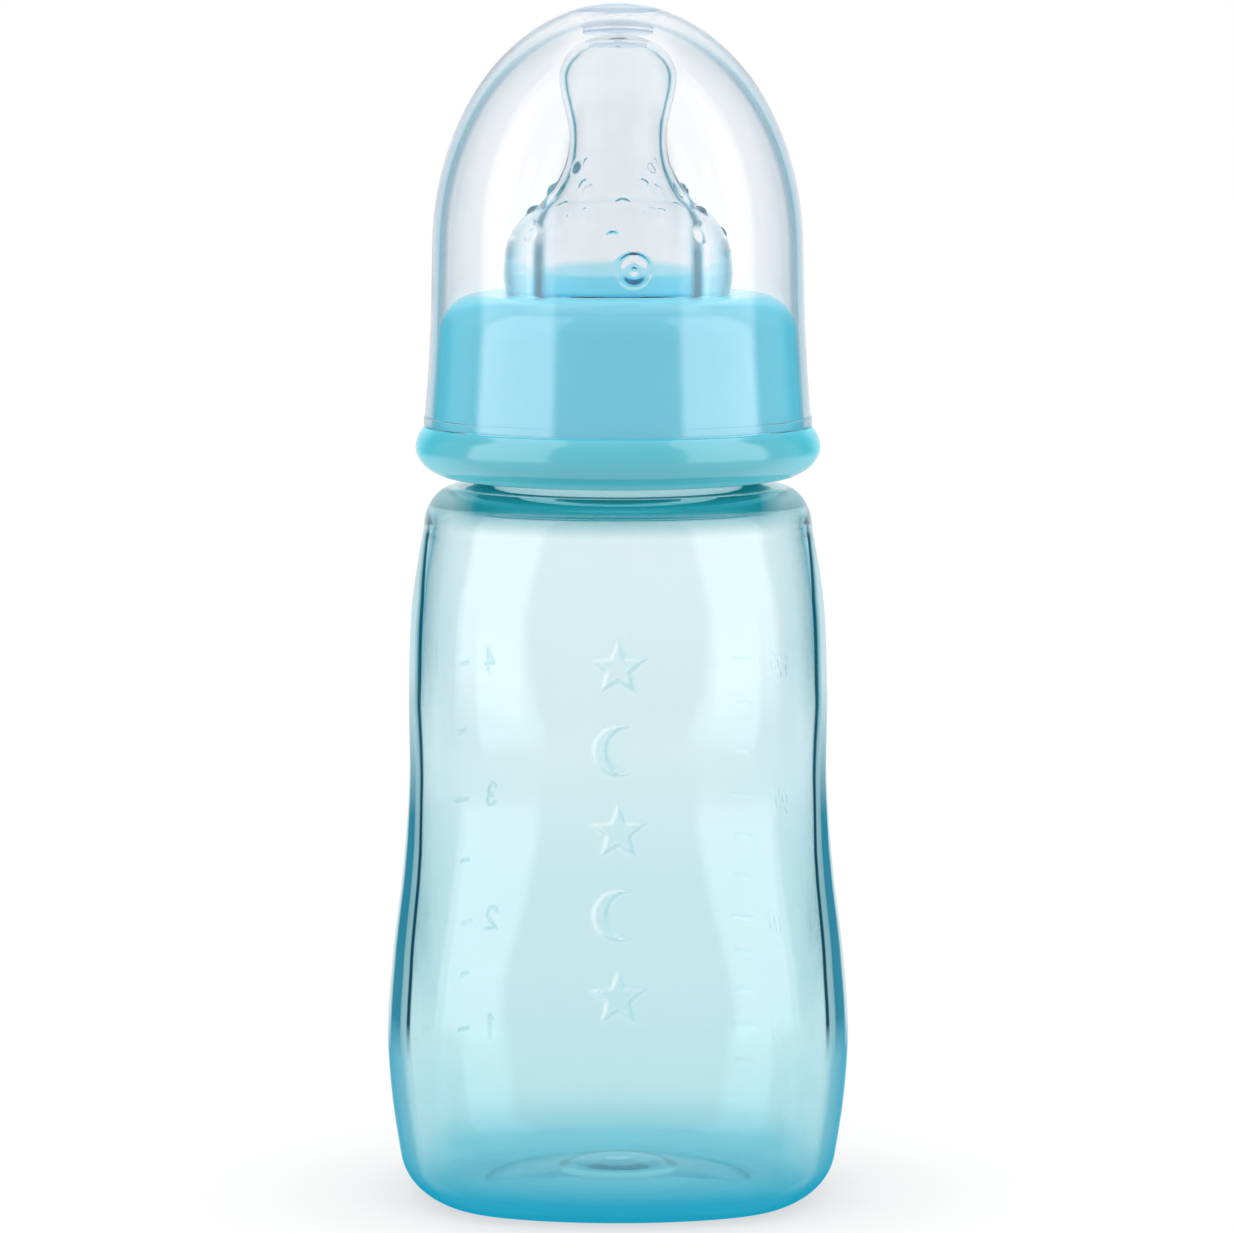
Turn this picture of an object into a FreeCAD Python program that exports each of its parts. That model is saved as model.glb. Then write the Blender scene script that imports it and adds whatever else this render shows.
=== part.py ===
import FreeCAD, Part
import math
import os

# Baby bottle, 120 ml, in millimetres. +Z is up, the origin is the centre of the foot ring on the
# table, and -Y is the front. Four pieces: bottle_body, nipple, screw_ring and hood.

# Bottle body: height, half width across the flats, squareness and wall thickness of each
# cross-section. Squareness 0 is a circle; 0.0667 would be a square with sharp corners.
BODY_STATIONS = [
    (4.7, 26.0, 0.038, 2.0),
    (11.3, 27.0, 0.042, 2.1),
    (18.9, 27.5, 0.043, 2.1),
    (28.4, 26.9, 0.040, 2.1),
    (38.7, 25.65, 0.022, 1.9),
    (49.1, 24.85, 0.010, 1.6),
    (60.5, 24.85, 0.028, 1.4),
    (70.9, 24.4, 0.028, 1.3),
    (79.4, 23.05, 0.012, 1.2),
]
SECTION_POINTS = 32
SHOULDER_WALL = 1.2
FOOT_RADIUS = 5.7
FOOT_DRAFT_DEG = 9.8
INNER_FOOT_RADIUS = 3.5
SHOULDER_TOP_Z = 84.5
SHOULDER_TOP_R = 19.2
PUSH_UP_R = 16.0
PUSH_UP_RISE = 2.1
DIMPLE_R = 6.3
DIMPLE_RISE = 0.7
FLOOR_THICKNESS = 1.8

# Neck and screw thread, one right-hand start.
NECK_BORE_R = 15.3
NECK_R = 16.8
NECK_TOP_Z = 103.8
NECK_THREAD_CREST_R = 17.95
THREAD_PITCH = 3.8
THREAD_TURNS = 1.5
NECK_THREAD_START_Z = 92.6
THREAD_ROOT_WIDTH = 1.7
THREAD_CREST_WIDTH = 0.85

# Screw ring.
RING_BOTTOM_Z = 85.5
RING_LEDGE_Z = 91.6
RING_BEAD_R = 23.95
RING_SKIRT_BOTTOM_R = 21.9
RING_SKIRT_TOP_R = 21.1
RING_SHOULDER_Z = 102.6
RING_TOP_Z = 107.3
RING_FLAT_R = 16.45
RING_HOLE_R = 13.0
RING_PLATE = 1.6
RING_BORE_R = 18.3
RING_THREAD_CREST_R = 17.1

# Nipple.
NIPPLE_FLANGE_R = 17.4
NIPPLE_FLANGE_BOTTOM_Z = 103.85
NIPPLE_FLANGE_TOP_Z = 105.65
NIPPLE_GROOVE_R = 12.95
NIPPLE_GROOVE_TOP_Z = 107.35
NIPPLE_TOP_Z = 137.95
NIPPLE_OUTSIDE = [
    (13.25, 107.45), (13.55, 108.85), (13.5, 111.05), (13.15, 113.0), (12.4, 114.7),
    (11.05, 116.5), (8.9, 118.3), (7.2, 120.6), (6.25, 122.6), (5.8, 124.8), (5.85, 127.2),
    (6.4, 129.7), (6.85, 131.9), (6.85, 133.5), (6.05, 135.5), (4.25, 137.1), (2.1, 137.8),
    (0.0, NIPPLE_TOP_Z),
]
NIPPLE_INSIDE = [
    (9.05, 115.0), (8.1, 116.9), (6.5, 119.3), (5.3, 122.2), (4.95, 124.8), (5.0, 127.2),
    (5.5, 129.7), (5.95, 131.9), (5.95, 133.4), (5.2, 135.0), (3.4, 136.4), (0.0, 136.8),
]
NIPPLE_BORE_R = 9.05
NIPPLE_HOLE_R = 0.35
NUB_R = 1.2
NUB_RISE = 0.45
NUB_ROWS = ((114.4, 7, 10), (117.2, 7, 35), (119.7, 6, 5), (122.3, 4, 40))
VENT_R = 2.2
VENT_RISE = 0.4
VENT_X = 1.8
VENT_Z = 110.6

# Hood.
HOOD_RIM_Z = 91.7
HOOD_TOP_Z = 141.5
HOOD_RIM_R = 23.0
HOOD_RIM_BAND = 1.15
HOOD_SIDE_R = 21.95
HOOD_DOME_Z = 112.4
HOOD_SKIRT_Z = 100.4
HOOD_SKIRT_R = 22.3
HOOD_WALL = 1.0
HOOD_CROWN = 1.6
STOPPER_R = 4.2
STOPPER_BOTTOM_Z = 138.05

# Raised marks moulded on the body. At the back are two scales, fluid ounces on one side and
# millilitres on the other; at the front a plain motif of stars and moons runs up the middle.
MARK_RISE = 0.2
MOTIF_RISE = 0.45
OUNCE_HEIGHTS = [15.6, 29.0, 44.7, 61.3]
ML_PER_OUNCE_MARK = 30
TICK_HEIGHT = 0.5
OUNCE_TICK_X = -20.6
OUNCE_TICK_LENGTHS = (2.7, 1.8)
ML_TICK_X = 16.2
ML_TICK_LENGTHS = (3.4, 2.2)
OUNCE_NUMBER_X = -16.4
ML_NUMBER_X = 21.6
DIGIT_W = 1.5
DIGIT_H = 2.7
STROKE = 0.45
STAR_R = 3.7
MOON_R = 3.1
MOTIF_HEIGHTS = (27.5, 37.0, 46.5, 56.0, 65.5)

Z_AXIS = FreeCAD.Vector(0, 0, 1)
ORIGIN = FreeCAD.Vector(0, 0, 0)


def rz(point):
    """A profile point given as (radius, height), in the XZ plane."""
    return FreeCAD.Vector(point[0], 0, point[1])


def revolve(segments):
    """Solid of revolution about Z. Each segment is a list of (radius, height) points: two make
    a straight line, more make a smooth curve. The outline closes itself."""
    edges = []
    for points in segments:
        if len(points) == 2:
            edges.append(Part.makeLine(rz(points[0]), rz(points[1])))
        else:
            curve = Part.BSplineCurve()
            curve.interpolate([rz(p) for p in points])
            edges.append(curve.toShape())
    first = segments[0][0]
    last = segments[-1][-1]
    if (rz(first) - rz(last)).Length > 1e-6:
        edges.append(Part.makeLine(rz(last), rz(first)))
    face = Part.Face(Part.Wire(edges))
    return as_solid(face.revolve(ORIGIN, Z_AXIS, 360))


def as_solid(shape):
    """The single solid in a shape, or the shape itself when it holds several."""
    if len(shape.Solids) == 1:
        return shape.Solids[0]
    return shape


def arc_points(centre, radii, start_deg, end_deg, count):
    """Points on an upright ellipse arc in the profile plane."""
    points = []
    for i in range(count + 1):
        angle = math.radians(start_deg + (end_deg - start_deg) * i / count)
        r = centre[0] + radii[0] * math.cos(angle)
        z = centre[1] + radii[1] * math.sin(angle)
        points.append((r, z))
    return points


def body_section(z, half_width, squareness, inset=0.0):
    """Closed rounded-square outline at height z. The outline is the envelope of tangent lines at
    distance h from the axis, so taking inset off h moves the wall in by exactly that much."""
    mean = half_width / (1.0 - squareness)
    points = []
    for i in range(SECTION_POINTS):
        angle = 2 * math.pi * i / SECTION_POINTS
        h = mean * (1.0 - squareness * math.cos(4 * angle)) - inset
        slope = 4.0 * mean * squareness * math.sin(4 * angle)
        x = h * math.cos(angle) - slope * math.sin(angle)
        y = h * math.sin(angle) + slope * math.cos(angle)
        points.append(FreeCAD.Vector(x, y, z))
    steps = [float(i) for i in range(SECTION_POINTS + 1)]
    curve = Part.BSplineCurve()
    curve.interpolate(Points=points, PeriodicFlag=True, Parameters=steps)
    return Part.Wire(curve.toShape())


def body_loft(hollow, foot_radius, top_r, top_z):
    """Foot arc, side wall and shoulder of the body. hollow 0 gives the outside; hollow 1 gives
    the cavity, set in by the wall thickness."""
    foot_z, foot_half_width, foot_squareness, foot_wall = BODY_STATIONS[0]
    neck_z, neck_half_width, neck_squareness, neck_wall = BODY_STATIONS[-1]
    draft = math.radians(FOOT_DRAFT_DEG)
    centre = (foot_half_width - foot_radius * math.cos(draft), foot_z + foot_radius * math.sin(draft))
    foot_arc = arc_points(centre, (foot_radius, foot_radius), -90, -FOOT_DRAFT_DEG, 5)
    sections = []
    for half_width, z in foot_arc[:-1]:
        sections.append(body_section(z, half_width, foot_squareness, hollow * foot_wall))
    for z, half_width, squareness, wall in BODY_STATIONS:
        sections.append(body_section(z, half_width, squareness, hollow * wall))
    shoulder_radii = (neck_half_width - hollow * neck_wall - top_r, top_z - neck_z)
    shoulder_arc = arc_points((top_r, neck_z), shoulder_radii, 0, 90, 5)
    for i, (r, z) in enumerate(shoulder_arc[1:]):
        fade = 1 - (i + 1) / 5
        sections.append(body_section(z, r, neck_squareness * fade))
    return Part.makeLoft(sections, True, False)


def thread(root_r, crest_r, start_z):
    """Right-hand thread ridge. It is buried 0.2 mm in the wall it grows from."""
    inward = 1 if crest_r < root_r else -1
    base_r = root_r + 0.2 * inward
    helix = Part.makeHelix(THREAD_PITCH, THREAD_PITCH * THREAD_TURNS, root_r)
    helix.translate(FreeCAD.Vector(0, 0, start_z))
    half_root = THREAD_ROOT_WIDTH / 2
    half_crest = THREAD_CREST_WIDTH / 2
    corners = [(base_r, start_z - half_root), (crest_r, start_z - half_crest),
               (crest_r, start_z + half_crest), (base_r, start_z + half_root)]
    outline = Part.makePolygon([rz(c) for c in corners + corners[:1]])
    return as_solid(Part.Wire(helix.Edges).makePipeShell([outline], True, True))


def mark_placement(body, x, z, side):
    """Frame on the body surface at (x, z), on side +1 (back) or -1 (front). Local X runs to the
    right as seen from outside, local Y runs up and local Z points out of the surface."""
    step = 0.4

    def surface_point(dx, dz):
        start = FreeCAD.Vector(x + dx, 0, z + dz)
        ray = Part.makeLine(start, start + FreeCAD.Vector(0, side * 40, 0))
        return max(ray.common(body).Vertexes, key=lambda v: side * v.Y).Point

    across = surface_point(-side * step, 0) - surface_point(side * step, 0)
    up = surface_point(0, step) - surface_point(0, -step)
    rotation = FreeCAD.Rotation(across, up, across.cross(up), "ZXY")
    return FreeCAD.Placement(surface_point(0, 0), rotation)


def flat_mark(outline, rise):
    """Plate standing proud of the surface by rise, from a flat outline of (x, y) points."""
    corners = [FreeCAD.Vector(x, y, -0.6) for x, y in outline]
    face = Part.Face(Part.makePolygon(corners + corners[:1]))
    return face.extrude(FreeCAD.Vector(0, 0, 0.6 + rise))


def bar(x0, y0, x1, y1):
    return flat_mark([(x0, y0), (x1, y0), (x1, y1), (x0, y1)], MARK_RISE)


def tick(length):
    return bar(-length / 2, -TICK_HEIGHT / 2, length / 2, TICK_HEIGHT / 2)


def digit(character, x0):
    """A numeral made of straight strokes, starting at x0."""
    w = DIGIT_W
    h = DIGIT_H
    s = STROKE
    strokes = {
        "top": (0, h - s, w, h),
        "middle": (0, h / 2 - s / 2, w, h / 2 + s / 2),
        "bottom": (0, 0, w, s),
        "upper_left": (0, h / 2 - s / 2, s, h),
        "lower_left": (0, 0, s, h / 2 + s / 2),
        "upper_right": (w - s, h / 2 - s / 2, w, h),
        "lower_right": (w - s, 0, w, h / 2 + s / 2),
    }
    used = {
        "0": ("top", "bottom", "upper_left", "lower_left", "upper_right", "lower_right"),
        "1": ("upper_right", "lower_right"),
        "2": ("top", "upper_right", "middle", "lower_left", "bottom"),
        "3": ("top", "upper_right", "middle", "lower_right", "bottom"),
        "4": ("upper_left", "middle", "upper_right", "lower_right"),
        "6": ("top", "upper_left", "middle", "lower_left", "lower_right", "bottom"),
        "9": ("top", "upper_left", "upper_right", "middle", "lower_right", "bottom"),
    }
    bars = [bar(x0 + strokes[name][0], strokes[name][1] - h / 2,
                x0 + strokes[name][2], strokes[name][3] - h / 2) for name in used[character]]
    return bars[0].fuse(bars[1:])


def number(text):
    """Digits side by side, centred on the local origin."""
    spacing = DIGIT_W + 0.5
    start = -(len(text) * spacing - 0.5) / 2
    return [digit(character, start + i * spacing) for i, character in enumerate(text)]


def star():
    outline = []
    for i in range(10):
        radius = STAR_R if i % 2 == 0 else 0.45 * STAR_R
        angle = math.pi / 2 + math.pi * i / 5
        outline.append((radius * math.cos(angle), radius * math.sin(angle)))
    return flat_mark(outline, MOTIF_RISE)


def moon():
    """Crescent open to the right."""
    depth = 0.6 + MOTIF_RISE
    disc = Part.makeCylinder(MOON_R, depth, FreeCAD.Vector(0, 0, -0.6))
    bite = Part.makeCylinder(MOON_R * 0.85, depth + 1, FreeCAD.Vector(MOON_R * 0.5, 0, -1))
    return disc.cut(bite)


def scale_height(ounces):
    """Height of a fill mark, with even steps between the whole ounces."""
    below = min(int(ounces), len(OUNCE_HEIGHTS) - 1)
    low = OUNCE_HEIGHTS[max(below - 1, 0)]
    high = OUNCE_HEIGHTS[max(below, 1)]
    return low + (high - low) * (ounces - max(below, 1))


def raised_marks(body):
    """Everything that stands proud of the body wall."""
    placed = []

    def place(shapes, x, z, side):
        placement = mark_placement(body, x, z, side)
        for shape in shapes:
            moved = shape.copy()
            moved.Placement = placement.multiply(moved.Placement)
            placed.append(moved)

    for i in range(2, 9):
        whole = i % 2 == 0
        z = scale_height(i / 2)
        place([tick(OUNCE_TICK_LENGTHS[0 if whole else 1])], OUNCE_TICK_X, z, 1)
        if whole:
            place(number(str(i // 2)), OUNCE_NUMBER_X, z, 1)
    for ml in range(20, 121, 10):
        whole = ml % ML_PER_OUNCE_MARK == 0
        z = scale_height(ml / ML_PER_OUNCE_MARK)
        place([tick(ML_TICK_LENGTHS[0 if whole else 1])], ML_TICK_X, z, 1)
        if whole:
            place(number(str(ml)), ML_NUMBER_X, z, 1)
    for i, z in enumerate(MOTIF_HEIGHTS):
        place([star() if i % 2 == 0 else moon()], 0, z, -1)
    return placed


def push_up(extra):
    """The shallow dome under the base with its centre dimple, raised by extra to give the cavity
    floor above it."""
    ball_r = (PUSH_UP_R ** 2 + PUSH_UP_RISE ** 2) / (2 * PUSH_UP_RISE)
    dome = []
    for i in range(9):
        r = PUSH_UP_R + (DIMPLE_R - PUSH_UP_R) * i / 8
        dome.append((r, extra + math.sqrt(ball_r ** 2 - r ** 2) - (ball_r - PUSH_UP_RISE)))
    edge_z = dome[-1][1]
    dimple = [(DIMPLE_R, edge_z), (DIMPLE_R - 0.7, edge_z + DIMPLE_RISE * 0.7),
              (DIMPLE_R * 0.5, edge_z + DIMPLE_RISE), (0, edge_z + DIMPLE_RISE)]
    return revolve([[(0, -5), (PUSH_UP_R, -5)], [(PUSH_UP_R, -5), (PUSH_UP_R, extra)], dome, dimple])


def make_bottle_body():
    outer = body_loft(0, FOOT_RADIUS, SHOULDER_TOP_R, SHOULDER_TOP_Z)
    neck = Part.makeCylinder(NECK_R, NECK_TOP_Z - 80, FreeCAD.Vector(0, 0, 80))
    ridge = thread(NECK_R, NECK_THREAD_CREST_R, NECK_THREAD_START_Z)
    outer = outer.fuse([neck, ridge] + raised_marks(outer))
    cavity = body_loft(1, INNER_FOOT_RADIUS, NECK_BORE_R + 0.3, SHOULDER_TOP_Z - SHOULDER_WALL)
    cavity = cavity.cut(push_up(FLOOR_THICKNESS))
    bore = Part.makeCylinder(NECK_BORE_R, NECK_TOP_Z - 80, FreeCAD.Vector(0, 0, 81))
    table = Part.makeBox(80, 80, 10, FreeCAD.Vector(-40, -40, -10))
    return as_solid(outer.cut(cavity.fuse(bore)).cut(push_up(0.0)).cut(table))


def make_screw_ring():
    bead = [(RING_BORE_R + 0.6, RING_BOTTOM_Z), (21.2, RING_BOTTOM_Z + 0.45), (23.0, 87.1),
            (RING_BEAD_R, 88.85), (23.7, 90.45), (23.0, RING_LEDGE_Z)]
    edge = arc_points((RING_FLAT_R, RING_SHOULDER_Z),
                      (RING_SKIRT_TOP_R - RING_FLAT_R, RING_TOP_Z - RING_SHOULDER_Z), 0, 90, 8)
    plate_z = RING_TOP_Z - RING_PLATE
    lip = [(RING_HOLE_R + 0.5, RING_TOP_Z), (RING_HOLE_R + 0.15, RING_TOP_Z - 0.15),
           (RING_HOLE_R, RING_TOP_Z - 0.5)]
    shell = revolve([
        bead,
        [bead[-1], (RING_SKIRT_BOTTOM_R, RING_LEDGE_Z)],
        [(RING_SKIRT_BOTTOM_R, RING_LEDGE_Z), edge[0]],
        edge,
        [edge[-1], lip[0]],
        lip,
        [lip[-1], (RING_HOLE_R, plate_z)],
        [(RING_HOLE_R, plate_z), (RING_BORE_R, plate_z)],
        [(RING_BORE_R, plate_z), (RING_BORE_R, RING_BOTTOM_Z + 0.5)],
    ])
    ridge = thread(RING_BORE_R, RING_THREAD_CREST_R, NECK_THREAD_START_Z - THREAD_PITCH / 2)
    return as_solid(shell.fuse(ridge))


def nipple_radius(z):
    """Outside radius of the nipple at height z."""
    for low, high in zip(NIPPLE_OUTSIDE, NIPPLE_OUTSIDE[1:]):
        if low[1] <= z <= high[1]:
            return low[0] + (high[0] - low[0]) * (z - low[1]) / (high[1] - low[1])
    return NIPPLE_OUTSIDE[0][0]


def make_nipple():
    outer = revolve([
        [(0, NIPPLE_FLANGE_BOTTOM_Z), (NIPPLE_FLANGE_R, NIPPLE_FLANGE_BOTTOM_Z)],
        [(NIPPLE_FLANGE_R, NIPPLE_FLANGE_BOTTOM_Z), (NIPPLE_FLANGE_R, NIPPLE_FLANGE_TOP_Z)],
        [(NIPPLE_FLANGE_R, NIPPLE_FLANGE_TOP_Z), (NIPPLE_GROOVE_R, NIPPLE_FLANGE_TOP_Z)],
        [(NIPPLE_GROOVE_R, NIPPLE_FLANGE_TOP_Z), (NIPPLE_GROOVE_R, NIPPLE_GROOVE_TOP_Z)],
        [(NIPPLE_GROOVE_R, NIPPLE_GROOVE_TOP_Z), NIPPLE_OUTSIDE[0]],
        NIPPLE_OUTSIDE,
    ])
    hollow = revolve([
        [(0, NIPPLE_FLANGE_BOTTOM_Z - 1), (NIPPLE_BORE_R, NIPPLE_FLANGE_BOTTOM_Z - 1)],
        [(NIPPLE_BORE_R, NIPPLE_FLANGE_BOTTOM_Z - 1), NIPPLE_INSIDE[0]],
        NIPPLE_INSIDE,
    ])
    nubs = []
    for z, count, start_deg in NUB_ROWS:
        r = nipple_radius(z)
        for i in range(count):
            angle = math.radians(start_deg + 360 * i / count)
            centre = FreeCAD.Vector((r - NUB_R + NUB_RISE) * math.cos(angle),
                                    (r - NUB_R + NUB_RISE) * math.sin(angle), z)
            nubs.append(Part.makeSphere(NUB_R, centre))
    vent = Part.makeCylinder(VENT_R, 3, FreeCAD.Vector(VENT_X, -13.4 - VENT_RISE, VENT_Z),
                             FreeCAD.Vector(0, 1, 0))
    milk_hole = Part.makeCylinder(NIPPLE_HOLE_R, 10, FreeCAD.Vector(0, 0, NIPPLE_TOP_Z - 5))
    return as_solid(outer.fuse(nubs + [vent]).cut(hollow).cut(milk_hole))


def hood_profile(inset, top_z, r_rim, rim_z):
    """Skirt with a slight draft, then the dome from the side wall up to the crown."""
    r_side = HOOD_SIDE_R - inset
    crown = []
    count = 14
    for i in range(count + 1):
        angle = math.pi / 2 * i / count
        r = r_side * math.cos(angle)
        z = HOOD_DOME_Z + (top_z - HOOD_DOME_Z) * math.sin(angle)
        crown.append((r, z))
    return [(r_rim, rim_z), (HOOD_SKIRT_R - inset, HOOD_SKIRT_Z), (r_side, HOOD_DOME_Z)], crown


def make_hood():
    skirt, crown = hood_profile(0, HOOD_TOP_Z, HOOD_RIM_R - 0.12, HOOD_RIM_Z + HOOD_RIM_BAND)
    outer = revolve([
        [(0, HOOD_RIM_Z), (HOOD_RIM_R - 0.2, HOOD_RIM_Z)],
        [(HOOD_RIM_R - 0.2, HOOD_RIM_Z), (HOOD_RIM_R, HOOD_RIM_Z + 0.2)],
        [(HOOD_RIM_R, HOOD_RIM_Z + 0.2), (HOOD_RIM_R, HOOD_RIM_Z + HOOD_RIM_BAND)],
        [(HOOD_RIM_R, HOOD_RIM_Z + HOOD_RIM_BAND), skirt[0]],
        skirt,
        crown,
    ])
    in_skirt, in_crown = hood_profile(HOOD_WALL, HOOD_TOP_Z - HOOD_CROWN,
                                      HOOD_RIM_R - HOOD_WALL - 0.05, HOOD_RIM_Z)
    hollow = revolve([
        [(0, HOOD_RIM_Z - 1), (in_skirt[0][0], HOOD_RIM_Z - 1)],
        [(in_skirt[0][0], HOOD_RIM_Z - 1), in_skirt[0]],
        in_skirt,
        in_crown,
    ])
    stopper = Part.makeCylinder(STOPPER_R, 3, FreeCAD.Vector(0, 0, STOPPER_BOTTOM_Z))
    stopper = stopper.common(outer)
    return as_solid(outer.cut(hollow).fuse(stopper))


os.makedirs("parts", exist_ok=True)
make_bottle_body().exportStep("parts/bottle_body.step")
make_screw_ring().exportStep("parts/screw_ring.step")
make_nipple().exportStep("parts/nipple.step")
make_hood().exportStep("parts/hood.step")
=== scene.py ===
import math

import bpy
import numpy as np
from mathutils import Euler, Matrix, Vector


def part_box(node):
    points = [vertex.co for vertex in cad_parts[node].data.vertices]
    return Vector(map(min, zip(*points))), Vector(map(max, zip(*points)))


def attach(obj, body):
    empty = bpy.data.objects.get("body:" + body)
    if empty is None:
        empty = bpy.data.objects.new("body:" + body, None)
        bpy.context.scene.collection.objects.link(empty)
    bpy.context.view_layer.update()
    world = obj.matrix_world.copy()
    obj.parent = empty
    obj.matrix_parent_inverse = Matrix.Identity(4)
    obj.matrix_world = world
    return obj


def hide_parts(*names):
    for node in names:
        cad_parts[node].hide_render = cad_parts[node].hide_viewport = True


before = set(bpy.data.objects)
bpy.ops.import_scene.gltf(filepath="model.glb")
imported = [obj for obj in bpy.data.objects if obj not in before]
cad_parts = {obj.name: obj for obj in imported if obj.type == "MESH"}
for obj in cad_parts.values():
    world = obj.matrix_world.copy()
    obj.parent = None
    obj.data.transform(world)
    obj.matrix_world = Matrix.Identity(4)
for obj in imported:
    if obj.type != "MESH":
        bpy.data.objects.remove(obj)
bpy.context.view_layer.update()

MM = 0.001
# Edges that bend by more than this are shaded sharp.
SHARP_DEG = 40


def box_mm(node):
    """Lowest and highest corner of a CAD node, in millimetres."""
    low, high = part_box(node)
    return np.array(low) / MM, np.array(high) / MM


_, BODY_HIGH = box_mm("bottle_body")
RING_LOW, RING_HIGH = box_mm("screw_ring")
NIPPLE_LOW, NIPPLE_HIGH = box_mm("nipple")
HOOD_LOW, HOOD_HIGH = box_mm("hood")


# ---------------------------------------------------------------- curves and meshes

def catmull(points, steps):
    """Smooth curve through points, with steps samples between each pair."""
    p = np.array(points, float)
    ends = np.vstack([2 * p[0] - p[1], p, 2 * p[-1] - p[-2]])
    t = np.arange(steps) / steps
    out = []
    for i in range(len(p) - 1):
        a, b, c, d = ends[i], ends[i + 1], ends[i + 2], ends[i + 3]
        ab = max(np.linalg.norm(b - a), 1e-9) ** 0.5
        bc = max(np.linalg.norm(c - b), 1e-9) ** 0.5
        cd = max(np.linalg.norm(d - c), 1e-9) ** 0.5
        m1 = (c - b) + bc * ((b - a) / ab - (c - a) / (ab + bc))
        m2 = (c - b) + bc * ((d - c) / cd - (d - b) / (bc + cd))
        h = t[:, None]
        out.append((2 * h**3 - 3 * h**2 + 1) * b + (h**3 - 2 * h**2 + h) * m1
                   + (-2 * h**3 + 3 * h**2) * c + (h**3 - h**2) * m2)
    out.append(p[-1:])
    return np.vstack(out)


def line(a, b, steps):
    t = np.linspace(0, 1, steps + 1)[:, None]
    return np.array(a) + (np.array(b) - np.array(a)) * t


def arc(centre, radii, start, end, steps):
    angle = np.radians(np.linspace(start, end, steps + 1))
    return np.stack([centre[0] + radii[0] * np.cos(angle), centre[1] + radii[1] * np.sin(angle)], 1)


def join(*runs):
    """One profile from several runs that meet end to start."""
    out = [runs[0]]
    for run in runs[1:]:
        gap = np.linalg.norm(run[0] - out[-1][-1])
        out.append(run[1:] if gap < 1e-6 else run)
    return np.vstack(out)


def grid_mesh(name, points, closed=False):
    """Mesh from rows x columns of points in mm. The columns wrap round. The rows wrap round too
    when closed is set; otherwise both ends meet on the axis in a fan."""
    rows, cols, _ = points.shape
    verts = points.reshape(-1, 3) * MM
    index = np.arange(rows * cols).reshape(rows, cols)
    if closed:
        index = np.vstack([index, index[:1]])
    a = index[:-1]
    b = index[1:]
    quads = np.stack([a, b, np.roll(b, -1, 1), np.roll(a, -1, 1)], -1).reshape(-1, 4)
    faces = quads.tolist()
    if not closed:
        ends = [points[0].mean(0) * MM, points[-1].mean(0) * MM]
        first = len(verts)
        verts = np.vstack([verts, ends])
        top = index[0]
        low = index[-1]
        faces += [(int(top[i]), int(top[(i + 1) % cols]), first) for i in range(cols)]
        faces += [(int(low[(i + 1) % cols]), int(low[i]), first + 1) for i in range(cols)]
    mesh = bpy.data.meshes.new(name)
    mesh.from_pydata(verts.tolist(), [], faces)
    mesh.validate()
    mesh.update()
    volume = sum(f.area * f.normal.dot(f.center) for f in mesh.polygons)
    if volume < 0:
        mesh.flip_normals()
    mesh.shade_smooth()
    mesh.set_sharp_from_angle(angle=math.radians(SHARP_DEG))
    piece = bpy.data.objects.new(name, mesh)
    bpy.context.scene.collection.objects.link(piece)
    return piece


def spin(profile, angles):
    """Rows x columns of points from a (radius, height) profile turned about the axis."""
    r = profile[:, 0][:, None]
    z = np.repeat(profile[:, 1][:, None], len(angles), 1)
    return np.stack([r * np.cos(angles), r * np.sin(angles), z], -1)


def smooth_step(x):
    """0 below 0, 1 above 1 and an S-shaped curve between."""
    x = np.clip(x, 0, 1)
    return x * x * (3 - 2 * x)


THREAD_PITCH = 3.8
THREAD_TURNS = 1.5
THREAD_ROOT = 1.7
THREAD_CREST = 0.85
THREAD_START_Z = 92.6
THREAD_FADE = 0.06


def ridge_height(points, start_z):
    """How far a one-start right-hand thread stands out, 0 to 1, at each point."""
    angle = np.arctan2(points[..., 1], points[..., 0]) % (2 * math.pi) / (2 * math.pi)
    height = np.zeros(points.shape[:2])
    for turn in range(int(math.ceil(THREAD_TURNS)) + 1):
        along = angle + turn
        off = np.abs(points[..., 2] - start_z - THREAD_PITCH * along)
        flank = smooth_step((THREAD_ROOT / 2 - off) / ((THREAD_ROOT - THREAD_CREST) / 2))
        fade = smooth_step(along / THREAD_FADE) * smooth_step((THREAD_TURNS - along) / THREAD_FADE)
        height = np.maximum(height, flank * fade)
    return height


# ---------------------------------------------------------------- bottle body

# Height, half width, squareness and wall thickness, in millimetres like every size here.
BODY_STATIONS = np.array([
    (4.7, 26.0, 0.038, 2.0), (11.3, 27.0, 0.042, 2.1), (18.9, 27.5, 0.043, 2.1),
    (28.4, 26.9, 0.040, 2.1), (38.7, 25.65, 0.022, 1.9), (49.1, 24.85, 0.010, 1.6),
    (60.5, 24.85, 0.028, 1.4), (70.9, 24.4, 0.028, 1.3), (79.4, 23.05, 0.012, 1.2),
])
FOOT_Z = BODY_STATIONS[0, 0]
SHOULDER_Z = BODY_STATIONS[-1, 0]
SHOULDER_WALL = 1.2
# Below 1, this squares off the corner of the cavity under the shoulder.
INNER_SHOULDER_POWER = 0.6
FOOT_RADIUS = 5.7
FOOT_DRAFT = 9.8
SHOULDER_TOP = (19.2, 84.5)
NECK_R = 16.8
NECK_BORE_R = 15.3
LIP_R = 0.4
NECK_TOP_Z = BODY_HIGH[2]
PUSH_UP = (16.0, 2.1)
DIMPLE = (6.3, 0.7)
FLOOR = 1.8
INNER_FOOT_RADIUS = 3.5
NECK_THREAD_DEPTH = 1.15
MARK_RISE = 0.12
MOTIF_RISE = 0.45
MARK_SLOPE = 0.42
MOTIF_SLOPE = 0.8
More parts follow.
